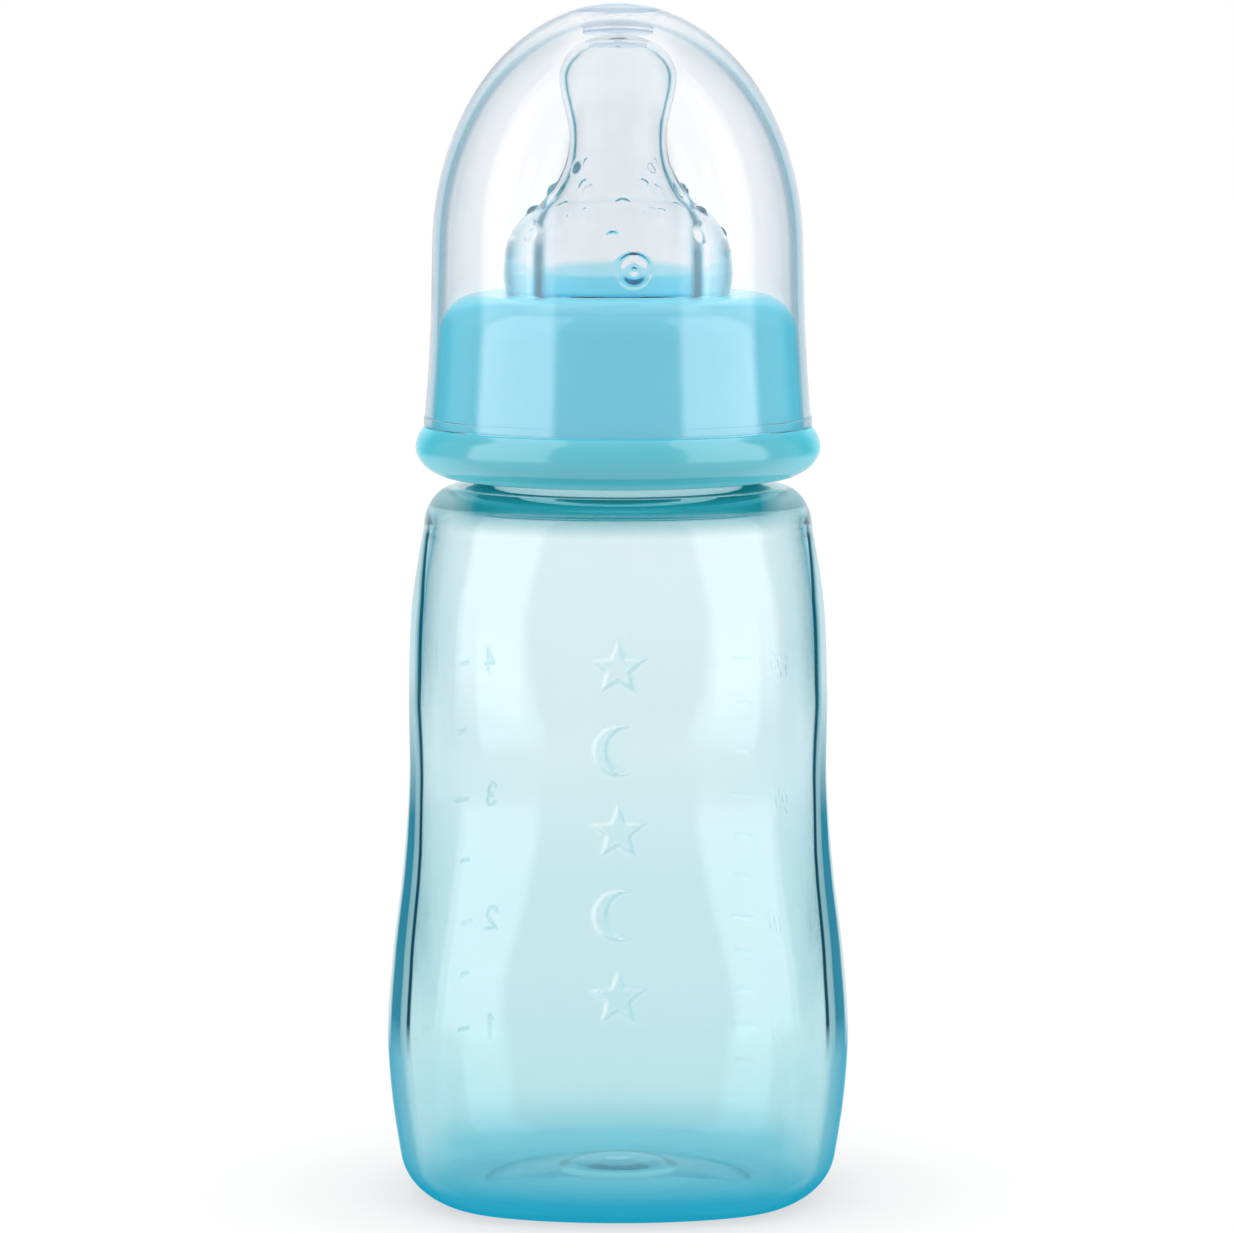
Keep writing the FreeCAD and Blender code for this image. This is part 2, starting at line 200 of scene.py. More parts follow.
# How close together the mesh's rows and columns stand where there are marks and where not.
MARK_SPACING = 0.25
MOTIF_SPACING = 0.2
PLAIN_ROWS = 0.9
PLAIN_COLUMNS = 1.3
MARKS_Z = (10.0, 71.0)
# Fill marks and the motif between them.
OUNCE_HEIGHTS = [15.6, 29.0, 44.7, 61.3]
ML_PER_OUNCE_MARK = 30
OUNCE_TICK_X = -20.6
OUNCE_NUMBER_X = -16.4
ML_TICK_X = 16.2
ML_NUMBER_X = 21.6
DIGIT_SPACING = 2.05
STROKE_HALF_WIDTH = 0.25
MOTIF = (("star", 3.7), ("moon", 3.1))
MOTIF_HEIGHTS = (27.5, 37.0, 46.5, 56.0, 65.5)


def smooth_stations(z):
    """Half width, squareness and wall at height z, by the smooth curve through the stations."""
    zs = BODY_STATIONS[:, 0]
    out = []
    for column in (1, 2, 3):
        v = BODY_STATIONS[:, column]
        h = np.diff(zs)
        slope = np.diff(v) / h
        m = np.empty_like(v)
        m[1:-1] = (slope[:-1] * h[1:] + slope[1:] * h[:-1]) / (h[:-1] + h[1:])
        m[0] = 1.5 * slope[0] - 0.5 * m[1]
        m[-1] = 1.5 * slope[-1] - 0.5 * m[-2]
        i = np.clip(np.searchsorted(zs, z) - 1, 0, len(h) - 1)
        t = (z - zs[i]) / h[i]
        out.append((2 * t**3 - 3 * t**2 + 1) * v[i] + (t**3 - 2 * t**2 + t) * h[i] * m[i]
                   + (-2 * t**3 + 3 * t**2) * v[i + 1] + (t**3 - t**2) * h[i] * m[i + 1])
    return out


def section(half_width, squareness, z, inset, angles):
    """Rounded-square outline. angles are the directions the wall faces, not polar angles."""
    mean = half_width / (1 - squareness)
    h = mean * (1 - squareness * np.cos(4 * angles)) - inset
    slope = 4 * mean * squareness * np.sin(4 * angles)
    return np.stack([h * np.cos(angles) - slope * np.sin(angles),
                     h * np.sin(angles) + slope * np.cos(angles), z + 0 * h], -1)


def body_rows(hollow, foot_radius, walls, top_r, top_z):
    """Rows of (half width, squareness, height, inset) from the foot ring up to the shoulder,
    set in by the wall thickness when hollow is 1."""
    foot_z, width, square, wall = BODY_STATIONS[0]
    draft = math.radians(FOOT_DRAFT)
    centre_r = width - foot_radius * math.cos(draft)
    centre_z = foot_z + foot_radius * math.sin(draft)
    rows = []
    for angle in np.linspace(-math.pi / 2, -draft, 19)[:-1]:
        rows.append((centre_r + foot_radius * math.cos(angle), square,
                     centre_z + foot_radius * math.sin(angle), hollow * wall))
    for z in walls:
        width, square, wall = (float(v) for v in smooth_stations(z))
        rows.append((width, square, z, hollow * wall))
    end_z, width, square, wall = BODY_STATIONS[-1]
    power = INNER_SHOULDER_POWER if hollow else 1.0
    for i, angle in enumerate(np.linspace(0, math.pi / 2, 17)[1:]):
        r = top_r + (width - hollow * wall - top_r) * max(math.cos(angle), 0) ** power
        z = end_z + (top_z - end_z) * math.sin(angle) ** power
        rows.append((r, square * (1 - (i + 1) / 16), z, 0.0))
    return rows


def polyline_distance(u, v, points):
    """Distance from each (u, v) to a chain of straight strokes."""
    best = np.full(np.broadcast(u, v).shape, 1e9)
    for (ax, ay), (bx, by) in zip(points[:-1], points[1:]):
        dx, dy = bx - ax, by - ay
        t = np.clip(((u - ax) * dx + (v - ay) * dy) / (dx * dx + dy * dy + 1e-12), 0, 1)
        best = np.minimum(best, np.hypot(u - ax - t * dx, v - ay - t * dy))
    return best


def round_stroke(centre, radii, start, end, steps):
    return [tuple(p) for p in arc(centre, radii, start, end, steps)]


def digit_strokes(character, w=0.75, h=1.35):
    """Strokes of one numeral, centred on the origin, in mm."""
    if character == "0":
        return [round_stroke((0, 0), (w, h), 0, 360, 24)]
    if character == "1":
        return [[(-w * 0.4, h * 0.6), (w * 0.1, h), (w * 0.1, -h)]]
    if character == "2":
        return [round_stroke((0, h * 0.45), (w, h * 0.55), 165, -35, 12) + [(-w, -h), (w, -h)]]
    if character == "3":
        return [round_stroke((0, h * 0.48), (w * 0.9, h * 0.52), 150, -90, 12),
                round_stroke((0, -h * 0.48), (w, h * 0.52), 90, -150, 12)]
    if character == "4":
        return [[(w * 0.35, -h), (w * 0.35, h), (-w, -h * 0.35), (w, -h * 0.35)]]
    if character == "6":
        return [round_stroke((0, -h * 0.4), (w, h * 0.6), 0, 360, 20),
                [(-w, -h * 0.4), (-w * 0.75, h * 0.4), (w * 0.4, h)]]
    return [round_stroke((0, h * 0.4), (w, h * 0.6), 0, 360, 20),
            [(w, h * 0.4), (w * 0.75, -h * 0.4), (-w * 0.4, -h)]]


def number_strokes(text):
    """Strokes of a number, centred on the origin."""
    strokes = []
    for i, character in enumerate(text):
        shift = (i - (len(text) - 1) / 2) * DIGIT_SPACING
        for stroke in digit_strokes(character):
            strokes.append([(x + shift, y) for x, y in stroke])
    return strokes


def star_distance(u, v, radius):
    """Signed distance to a five-pointed star, negative inside."""
    corners = []
    for i in range(11):
        r = radius if i % 2 == 0 else 0.45 * radius
        angle = math.pi / 2 + math.pi * i / 5
        corners.append((r * math.cos(angle), r * math.sin(angle)))
    edge = polyline_distance(u, v, corners)
    inside = np.zeros(edge.shape, bool)
    for (ax, ay), (bx, by) in zip(corners[:-1], corners[1:]):
        crosses = (ay > v) != (by > v)
        x_at = ax + (v - ay) * (bx - ax) / (by - ay + 1e-12)
        inside ^= crosses & (u < x_at)
    return np.where(inside, -edge, edge)


def moon_distance(u, v, radius):
    """Signed distance to a crescent open to the right, negative inside."""
    disc = np.hypot(u, v) - radius
    bite = np.hypot(u - 0.5 * radius, v) - 0.85 * radius
    return np.maximum(disc, -bite)


def scale_height(ounces):
    """Height of a fill mark, in mm."""
    below = min(int(ounces), len(OUNCE_HEIGHTS) - 1)
    low = OUNCE_HEIGHTS[max(below - 1, 0)]
    high = OUNCE_HEIGHTS[max(below, 1)]
    return low + (high - low) * (ounces - max(below, 1))


def wall_frame(x, z, side):
    """Centre and rightward tangent of the wall at (x, z), seen from outside on that side."""
    angles = np.radians(np.linspace(0.0, 180.0, 721)) * side
    width, square, _ = smooth_stations(z)
    outline = section(width, square, z, 0.0, angles)
    i = int(np.argmin(np.abs(outline[:, 0] - x)))
    facing = np.array([math.cos(angles[i]), math.sin(angles[i]), 0.0])
    return outline[i], np.cross([0, 0, 1.0], facing)


def mark_list():
    """Every raised mark as (x, height, side, kind, size or strokes). The scales are at the back,
    side 1, and the motif at the front, side -1."""
    marks = []

    def tick(x, z, half):
        marks.append((x, z, 1, "strokes", [[(-half, 0), (half, 0)]]))

    def label(x, z, text):
        marks.append((x, z, 1, "strokes", number_strokes(text)))

    for i in range(2, 9):
        whole = i % 2 == 0
        z = scale_height(i / 2)
        tick(OUNCE_TICK_X, z, 1.35 if whole else 0.9)
        if whole:
            label(OUNCE_NUMBER_X, z, str(i // 2))
    for ml in range(20, 121, 10):
        whole = ml % ML_PER_OUNCE_MARK == 0
        z = scale_height(ml / ML_PER_OUNCE_MARK)
        tick(ML_TICK_X, z, 1.7 if whole else 1.1)
        if whole:
            label(ML_NUMBER_X, z, str(ml))
    for i, z in enumerate(MOTIF_HEIGHTS):
        marks.append((0.0, z, -1, *MOTIF[i % 2]))
    return marks


def raise_marks(points):
    """Moves the outer wall out where a mark stands on it, and gives how steep each point is."""
    outward = np.stack([points[..., 0], points[..., 1]], -1)
    outward = outward / (np.linalg.norm(outward, axis=-1, keepdims=True) + 1e-9)
    move = np.zeros(points.shape[:2])
    steep = np.zeros(points.shape[:2])
    for x, z, side, kind, shape in mark_list():
        centre, right = wall_frame(x, z, side)
        offset = points - centre
        u = offset @ right
        v = offset[..., 2]
        near = (np.abs(u) < 6) & (np.abs(v) < 6) & (np.linalg.norm(offset, axis=-1) < 9)
        edge = np.full(move.shape, 1e9)
        rise = MARK_RISE
        slope = MARK_SLOPE
        if kind == "strokes":
            for stroke in shape:
                off = polyline_distance(u[near], v[near], stroke) - STROKE_HALF_WIDTH
                edge[near] = np.minimum(edge[near], off)
        else:
            distance = star_distance if kind == "star" else moon_distance
            edge[near] = distance(u[near], v[near], shape)
            rise = MOTIF_RISE
            slope = MOTIF_SLOPE
        share = smooth_step((0.1 - edge) / slope)
        move = np.maximum(move, rise * share)
        steep = np.maximum(steep, 4 * share * (1 - share))
    points[..., :2] += outward * move[..., None]
    return steep


def body_angles():
    """Directions for the columns, close together where marks stand and wide apart elsewhere."""
    def band(low, high, step_mm, radius=27.0):
        count = max(2, int(round(math.radians(high - low) * radius / step_mm)))
        return np.linspace(low, high, count, endpoint=False)

    front = 270.0
    return np.radians(np.concatenate([
        band(22, 78, MARK_SPACING, 21), band(78, 106, PLAIN_COLUMNS),
        band(106, 146, MARK_SPACING, 21), band(146, front - 8, PLAIN_COLUMNS),
        band(front - 8, front + 8, MOTIF_SPACING, 38), band(front + 8, 382, PLAIN_COLUMNS),
    ]))


def make_body():
    angles = body_angles()
    outer_walls = np.concatenate([
        np.arange(FOOT_Z, MARKS_Z[0], PLAIN_ROWS), np.arange(*MARKS_Z, MARK_SPACING),
        np.arange(MARKS_Z[1] + 0.2, SHOULDER_Z, PLAIN_ROWS), [SHOULDER_Z],
    ])
    inner_walls = np.linspace(FOOT_Z, SHOULDER_Z, 50)
    outer = [section(w, s, z, i, angles)
             for w, s, z, i in body_rows(0, FOOT_RADIUS, outer_walls, *SHOULDER_TOP)]
    outer = np.array(outer)
    outer[..., 2] = np.maximum(outer[..., 2], 0.0)
    steep = raise_marks(outer)

    neck_z = np.arange(SHOULDER_TOP[1] + 1.0, NECK_TOP_Z - 0.5, 0.3)
    neck = join(np.array([(18.2, SHOULDER_TOP[1] + 0.02), (17.3, SHOULDER_TOP[1] + 0.15),
                          (17.0, SHOULDER_TOP[1] + 0.4)]),
                np.stack([np.full(len(neck_z), NECK_R), neck_z], 1),
                arc((NECK_R - LIP_R, NECK_TOP_Z - LIP_R), (LIP_R, LIP_R), 0, 90, 4),
                arc((NECK_BORE_R + LIP_R, NECK_TOP_Z - LIP_R), (LIP_R, LIP_R), 90, 180, 4),
                line((NECK_BORE_R, NECK_TOP_Z - 0.8), (NECK_BORE_R, SHOULDER_TOP[1]), 8))
    neck = spin(neck, angles)
    thread = ridge_height(neck, THREAD_START_Z)
    outside = np.linalg.norm(neck[..., :2], axis=-1) > NECK_R - 0.05
    scale = 1 + np.where(outside, thread, 0) * NECK_THREAD_DEPTH / NECK_R
    neck[..., :2] *= scale[..., None]

    inner = [section(w, s, z, i, angles)
             for w, s, z, i in body_rows(1, INNER_FOOT_RADIUS, inner_walls, NECK_BORE_R + 0.3,
                                         SHOULDER_TOP[1] - SHOULDER_WALL)]
    inner = np.array(inner[::-1])

    def base(lift, start_r):
        """From the foot ring in to the axis, over the pushed-up dome and its dimple."""
        ball = (PUSH_UP[0] ** 2 + PUSH_UP[1] ** 2) / (2 * PUSH_UP[1])
        r = np.linspace(start_r, DIMPLE[0] + 0.3, 14)
        z = lift + np.sqrt(ball ** 2 - r ** 2) - (ball - PUSH_UP[1])
        rim_z = z[-1]
        dimple = catmull([(r[-1], rim_z), (DIMPLE[0] - 0.3, rim_z + 0.16),
                          (DIMPLE[0] - 1.6, rim_z + DIMPLE[1] * 0.75),
                          (DIMPLE[0] * 0.4, rim_z + DIMPLE[1]), (0.4, rim_z + DIMPLE[1])], 5)
        return join(np.stack([r, z], 1), dimple)

    floor_in = spin(base(FLOOR, PUSH_UP[0]), angles)
    floor_out = spin(base(0.0, PUSH_UP[0])[::-1], angles)
    shell = np.concatenate([floor_out, outer, neck, inner, floor_in])
    piece = grid_mesh("bottle_shell", shell)
    outer_face = np.zeros(shell.shape[:2])
    outer_face[:len(floor_out) + len(outer) + len(neck_z)] = 1
    relief = np.zeros(shell.shape[:2])
    relief[len(floor_out):len(floor_out) + len(outer)] = steep
    for name, values in (("outer_face", outer_face), ("relief", relief)):
        layer = piece.data.attributes.new(name, "FLOAT", "POINT")
        layer.data.foreach_set("value", np.append(values, [0, 0]).astype(np.float32))
    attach(piece, "body")
    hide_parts("bottle_body")
    return piece


# ---------------------------------------------------------------- screw ring

RING_BORE_R = 18.3
RING_THREAD_DEPTH = 1.2


def make_ring():
    angles = np.linspace(0, 2 * math.pi, 240, endpoint=False)
    low = RING_LOW[2]
    top = RING_HIGH[2]
    skirt_low, skirt_high, flat_r, hole_r = 21.86, 21.1, 16.45, 13.0
    plate_z = top - 1.6
    crown_r = 4.7
    bead = catmull([(18.9, low), (21.2, low + 0.45), (23.0, low + 1.6), (23.95, low + 3.35),
                    (23.7, low + 4.95), (23.0, low + 6.1)], 8)
    profile = join(
        bead,
        catmull([(23.0, low + 6.1), (22.4, low + 6.2), (21.95, low + 6.35),
                 (skirt_low, low + 6.9)], 3),
        line((skirt_low, low + 6.9), (skirt_high, top - crown_r), 30),
        arc((flat_r, top - crown_r), (skirt_high - flat_r, crown_r), 0, 90, 20),
        line((flat_r, top), (hole_r + 0.5, top), 6),
        arc((hole_r + 0.5, top - 0.5), (0.5, 0.5), 90, 180, 5),
        line((hole_r, top - 0.5), (hole_r, plate_z), 3),
        line((hole_r, plate_z), (RING_BORE_R - 0.5, plate_z), 6),
        arc((RING_BORE_R - 0.5, plate_z - 0.5), (0.5, 0.5), 90, 0, 4),
        line((RING_BORE_R, plate_z - 0.5), (RING_BORE_R, low + 0.6), 60),
        arc((18.9, low + 0.6), (0.6, 0.6), 180, 270, 4)[:-1],
    )
    points = spin(profile, angles)
    thread = ridge_height(points, THREAD_START_Z - THREAD_PITCH / 2)
    bore = np.abs(np.linalg.norm(points[..., :2], axis=-1) - RING_BORE_R) < 0.02
    points[..., :2] *= (1 - np.where(bore, thread, 0) * RING_THREAD_DEPTH / RING_BORE_R)[..., None]
    piece = grid_mesh("collar_ring", points, closed=True)
    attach(piece, "ring")
    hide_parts("screw_ring")
    return piece


# ---------------------------------------------------------------- nipple

MILK_HOLE_R = 0.35
# (radius, height) down the outside from above the ring, and up the inside.
NIPPLE_OUTSIDE = [
    (13.25, 107.45), (13.55, 108.85), (13.5, 111.05), (13.15, 113.0), (12.4, 114.7),
    (11.05, 116.5), (8.9, 118.3), (7.2, 120.6), (6.25, 122.6), (5.8, 124.8), (5.85, 127.2),
    (6.4, 129.7), (6.85, 131.9), (6.85, 133.5), (6.05, 135.5), (4.25, 137.1), (2.1, 137.8),
]
NIPPLE_INSIDE = [
    (9.05, 115.0), (8.1, 116.9), (6.5, 119.3), (5.3, 122.2), (4.95, 124.8), (5.0, 127.2),
    (5.5, 129.7), (5.95, 131.9), (5.95, 133.4), (5.2, 135.0), (3.4, 136.4), (MILK_HOLE_R, 136.8),
]
# The small bumps round the sloping shoulder, as rows of height, count and first angle in degrees.
NUB_ROWS = ((114.4, 7, 10), (117.2, 7, 35), (119.7, 6, 5), (122.3, 4, 40))
NUB_R = 1.2
NUB_RISE = 0.45
# The vent button on the straight wall: place across, height and radius.
VENT_X, VENT_Z, VENT_R = 1.8, 110.6, 2.2
VENT_WALL_R = 13.52
FLANGE_R = 17.4
GROOVE_R = 12.95
GROOVE_TOP_Z = 107.25


def make_nipple():
    angles = np.linspace(0, 2 * math.pi, 300, endpoint=False)
    low = NIPPLE_LOW[2]
    top = NIPPLE_HIGH[2]
    outside = catmull(NIPPLE_OUTSIDE + [(MILK_HOLE_R, top)], 9)
    step = np.gradient(outside, axis=0)
    normal = np.stack([step[:, 1], -step[:, 0]], 1) / np.linalg.norm(step, axis=1)[:, None]
    inside = catmull(NIPPLE_INSIDE, 7)[::-1]
    flange_top = low + 1.8
    bore = inside[-1][0]
    profile = join(
        outside,
        line((MILK_HOLE_R, top), (MILK_HOLE_R, inside[0][1]), 2),
        inside,
        line((bore, inside[-1][1]), (bore, low + 0.4), 16),
        arc((bore + 0.4, low + 0.4), (0.4, 0.4), 180, 270, 3),
        line((bore + 0.4, low), (FLANGE_R - 0.2, low), 8),
        arc((FLANGE_R - 0.2, low + 0.2), (0.2, 0.2), -90, 0, 2),
        line((FLANGE_R, low + 0.2), (FLANGE_R, flange_top - 0.2), 2),
        arc((FLANGE_R - 0.2, flange_top - 0.2), (0.2, 0.2), 0, 90, 2),
        line((FLANGE_R - 0.2, flange_top), (GROOVE_R, flange_top), 5),
        line((GROOVE_R, flange_top), (GROOVE_R, GROOVE_TOP_Z), 3),
    )
    points = spin(profile, angles)
    on_outside = np.arange(len(profile)) < len(outside)
    rise = np.zeros(points.shape[:2])
    for z, count, first in NUB_ROWS:
        r = np.interp(z, [p[1] for p in NIPPLE_OUTSIDE], [p[0] for p in NIPPLE_OUTSIDE])
        for i in range(count):
            angle = math.radians(first + 360 * i / count)
            centre = np.array([r * math.cos(angle), r * math.sin(angle), z])
            off = np.linalg.norm(points - centre, axis=-1)
            ball = np.sqrt(np.clip(NUB_R ** 2 - off ** 2, 0, None))
            rise = np.maximum(rise, ball - NUB_R + NUB_RISE)
    vent_y = -math.sqrt(VENT_WALL_R ** 2 - VENT_X ** 2)
    off = np.linalg.norm(points - np.array([VENT_X, vent_y, VENT_Z]), axis=-1)
    button = 0.45 * smooth_step((VENT_R - off) / 0.35)
    button -= 0.28 * smooth_step((VENT_R - 0.75 - off) / 0.3)
    button += 0.3 * smooth_step((0.55 - off) / 0.3)
    rise = np.maximum(rise, button)
    rise[~on_outside] = 0
    full_normal = np.zeros((len(profile), 2))
    full_normal[:len(outside)] = normal
    direction = np.stack([full_normal[:, 0][:, None] * np.cos(angles),
                          full_normal[:, 0][:, None] * np.sin(angles),
                          np.repeat(full_normal[:, 1][:, None], len(angles), 1)], -1)
    points += direction * rise[..., None]
    piece = grid_mesh("silicone_nipple", points, closed=True)
    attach(piece, "nipple")
    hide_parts("nipple")
    return piece


# ---------------------------------------------------------------- hood

HOOD_LIP_R = 23.0
HOOD_R = 21.95
HOOD_INSIDE_R = 20.95
DOME_Z = 112.4
STOPPER_R = 4.2
STOPPER_Z = 138.05


def make_hood():
    angles = np.linspace(0, 2 * math.pi, 200, endpoint=False)
    low = HOOD_LOW[2]
    top = HOOD_HIGH[2]
    outer = join(
        line((HOOD_LIP_R - 0.15, low), (HOOD_LIP_R, low + 0.15), 1),
        line((HOOD_LIP_R, low + 0.15), (HOOD_LIP_R, low + 1.0), 2),
        arc((HOOD_LIP_R - 0.12, low + 1.02), (0.12, 0.13), 0, 90, 3),
        catmull([(22.86, low + 1.17), (22.3, 100.4), (HOOD_R, DOME_Z)], 20),
        arc((0, DOME_Z), (HOOD_R, top - DOME_Z), 0, 89.2, 60),
    )[::-1]
    crown = top - 1.6
    inner = join(
        catmull([(21.95, low), (21.3, 100.4), (HOOD_INSIDE_R, DOME_Z)], 14),
        arc((0, DOME_Z), (HOOD_INSIDE_R, crown - DOME_Z), 0, 77.5, 40),
    )
    edge = inner[-1]
    corner_r = 0.25
    stopper = join(
        catmull([tuple(edge), (STOPPER_R + 0.1, edge[1] - 0.12), (STOPPER_R, edge[1] - 0.4)], 3),
        line((STOPPER_R, edge[1] - 0.4), (STOPPER_R, STOPPER_Z + corner_r), 3),
        arc((STOPPER_R - corner_r, STOPPER_Z + corner_r), (corner_r, corner_r), 0, -90, 4),
        line((STOPPER_R - corner_r, STOPPER_Z), (0.3, STOPPER_Z), 4),
    )
    piece = grid_mesh("clear_hood", spin(join(outer, inner, stopper), angles))
    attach(piece, "hood")
    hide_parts("hood")
    return piece


# ---------------------------------------------------------------- materials

def new_material(name):
    material = bpy.data.materials.new(name)
    material.use_nodes = True
    nodes = material.node_tree.nodes
    shader = nodes["Principled BSDF"]
    output = nodes["Material Output"]
    return material, nodes, material.node_tree.links, shader, output


def set_inputs(node, **values):
    for key, value in values.items():
        node.inputs[key.replace("_", " ")].default_value = value


def noise(nodes, links, scale, detail):
    """Noise in object space, in cycles per metre."""
    place = nodes.new("ShaderNodeTexCoord")
    texture = nodes.new("ShaderNodeTexNoise")
    links.new(place.outputs["Object"], texture.inputs["Vector"])
    set_inputs(texture, Scale=scale, Detail=detail)
    return texture.outputs["Fac"]


def ripple(nodes, links, shader, height, strength, depth):
    """Slight waviness of a moulded surface."""
    bump = nodes.new("ShaderNodeBump")
    set_inputs(bump, Strength=strength, Distance=depth)
    links.new(height, bump.inputs["Height"])
    links.new(bump.outputs["Normal"], shader.inputs["Normal"])


def ramp(nodes, links, value, stops):
    """Colour looked up by value in stops of (place, colour)."""
    node = nodes.new("ShaderNodeValToRGB")
    band = node.color_ramp
    while len(band.elements) < len(stops):
        band.elements.new(0.5)
    for element, (place, colour) in zip(band.elements, stops):
        element.position = place
        element.color = (*colour, 1.0)
    links.new(value, node.inputs["Fac"])
    return node.outputs["Color"]


def remap(nodes, links, value, low, high, start=0.0, end=1.0, smooth=False):
    """start to end as value goes from low to high, and level beyond them."""
    node = nodes.new("ShaderNodeMapRange")
    if smooth:
        node.interpolation_type = "SMOOTHSTEP"
    set_inputs(node, From_Min=low, From_Max=high, To_Min=start, To_Max=end)
    links.new(value, node.inputs["Value"])
    return node.outputs["Result"]


def calculate(nodes, links, operation, *values):
    """Result of a math node. Each value is a socket or a plain number."""
    node = nodes.new("ShaderNodeMath")
    node.operation = operation
    for socket, value in zip(node.inputs, values):
        if isinstance(value, (int, float)):
            socket.default_value = value
        else:
            links.new(value, socket)
    return node.outputs["Value"]


def attribute(nodes, name):
    node = nodes.new("ShaderNodeAttribute")
    node.attribute_name = name
    return node.outputs["Fac"]


def facing_ratio(nodes):
    """0 where the surface is square on to the view, 1 where it is edge on."""
    weight = nodes.new("ShaderNodeLayerWeight")
    set_inputs(weight, Blend=0.5)
    return weight.outputs["Facing"]


def position(nodes, links, space):
    """X, Y and Z of the point shaded, in metres, in Object or Camera space."""
    place = nodes.new("ShaderNodeTexCoord")
    split = nodes.new("ShaderNodeSeparateXYZ")
    links.new(place.outputs[space], split.inputs["Vector"])
    return split.outputs


def mix_shaders(nodes, links, share, first, second):
    mix = nodes.new("ShaderNodeMixShader")
    links.new(share, mix.inputs["Fac"])
    links.new(first, mix.inputs[1])
    links.new(second, mix.inputs[2])
    return mix.outputs["Shader"]


def let_lamps_through(nodes, links, shader, output, colour):
    """Lamp and bounce light passes straight through the thin wall, tinted, as it does through a
    real clear piece, so what stands inside and behind is lit."""
    path = nodes.new("ShaderNodeLightPath")
    either = calculate(nodes, links, "MAXIMUM", path.outputs["Is Shadow Ray"],
                       path.outputs["Is Diffuse Ray"])
    clear = nodes.new("ShaderNodeBsdfTransparent")
    clear.inputs["Color"].default_value = (*colour, 1.0)
    mixed = mix_shaders(nodes, links, either, shader, clear.outputs["BSDF"])
    links.new(mixed, output.inputs["Surface"])


def colour_mix(nodes, links, blend, *colours):
    """Mix node for colours, and its colour output. Each colour is a socket or a plain triple."""
    mix = nodes.new("ShaderNodeMix")
    mix.data_type = "RGBA"
    mix.blend_type = blend
    sockets = [socket for socket in mix.inputs if socket.type == "RGBA"]
    for socket, colour in zip(sockets, colours):
        if isinstance(colour, tuple):
            socket.default_value = (*colour, 1)
        else:
            links.new(colour, socket)
    return mix, [socket for socket in mix.outputs if socket.type == "RGBA"][0]


def multiply(nodes, links, first, second):
    """Product of two colours."""
    mix, out = colour_mix(nodes, links, "MULTIPLY", first, second)
    mix.inputs["Factor"].default_value = 1.0
    return out


def mix_colours(nodes, links, factor, first, second):
    """first where factor is 0, second where it is 1."""
    mix, out = colour_mix(nodes, links, "MIX", first, second)
    links.new(factor, mix.inputs["Factor"])
    return out


def by_height(nodes, links, low, high):
    """Height in the object, as 0 to 1 from low to high, in metres. low may be the higher one."""
    return remap(nodes, links, position(nodes, links, "Object")["Z"], low, high)


def absorb(nodes, links, output, colour):
    """Tint that deepens with the length of plastic the light crosses."""
    volume = nodes.new("ShaderNodeVolumeAbsorption")
    set_inputs(volume, Color=(*colour, 1.0))
    links.new(volume.outputs["Volume"], output.inputs["Volume"])
    return volume


def greys(*stops):
    """Ramp stops for a plain value."""
    return [(place, (value, value, value)) for place, value in stops]


# Painted light and shade for the wall seen edge on, by facing (0 square on, 1 edge on): colour and
# how much it covers, for the lower part of the body, for the waist and up, and for the foot. The
# darkest stops are a painted dark line and the palest a painted rim. The deep aqua stands in partly
# for the plastic's tint and partly for shade.
LOW_EDGE_COLOURS = [
    (0.61, (0.30, 0.62, 0.70)), (0.63, (0.0, 0.05, 0.09)), (0.655, (0.0, 0.05, 0.09)),
    (0.67, (0.20, 0.42, 0.48)), (0.72, (0.16, 0.38, 0.45)), (0.74, (0.01, 0.21, 0.32)),
    (0.86, (0.01, 0.24, 0.36)), (0.90, (0.62, 0.83, 0.88)), (1.0, (0.80, 0.92, 0.95)),
]
LOW_EDGE_AMOUNTS = greys((0.61, 0), (0.63, 0.98), (0.655, 0.98), (0.67, 0.7), (0.72, 0.75),
                         (0.74, 0.95), (0.86, 0.95), (0.9, 0.6), (1.0, 0.5))
HIGH_EDGE_COLOURS = [
    (0.60, (0.30, 0.62, 0.70)), (0.62, (0.0, 0.08, 0.12)), (0.655, (0.0, 0.10, 0.15)),
    (0.68, (0.16, 0.38, 0.45)), (0.73, (0.50, 0.74, 0.80)), (0.90, (0.62, 0.83, 0.88)),
    (1.0, (0.40, 0.60, 0.70)),
]
HIGH_EDGE_AMOUNTS = greys((0.60, 0), (0.62, 0.97), (0.655, 0.97), (0.68, 0.75), (0.73, 0.7),
                          (1.0, 0.7))
FOOT_COLOURS = [
    (0.55, (0.30, 0.70, 0.80)), (0.70, (0.06, 0.40, 0.53)), (0.86, (0.01, 0.36, 0.54)),
    (0.93, (0.02, 0.40, 0.58)), (0.97, (0.60, 0.86, 0.92)),
]
FOOT_AMOUNTS = greys((0.60, 0), (0.72, 0.7), (0.90, 0.88), (1.0, 0.5))
# How much sooner the edge shows lower down than at the shoulder, by height over the body.
EDGE_START_LOW = 0.15
EDGE_START = greys((0.50, EDGE_START_LOW), (0.60, 0.11), (0.70, 0.06), (0.85, 0.06), (0.93, 0.0))
# Heights, in metres, over which the foot's edge passes into the lower part's and that into the
# waist's, over which the edge dies out, and over which the shoulder's pale corners, painted light,
# set in.
FOOT_TO_SIDE_Z = (0.018, 0.0225)
SIDE_TO_WAIST_Z = (0.046, 0.062)
EDGE_END_Z = (0.082, 0.079)
CORNER_Z = (0.076, 0.079)
CORNER_COLOUR = (0.34, 0.60, 0.66)
# How far to the side of the axis, in metres, those corners start and are full.
ASIDE_X = (0.0165, 0.0195)
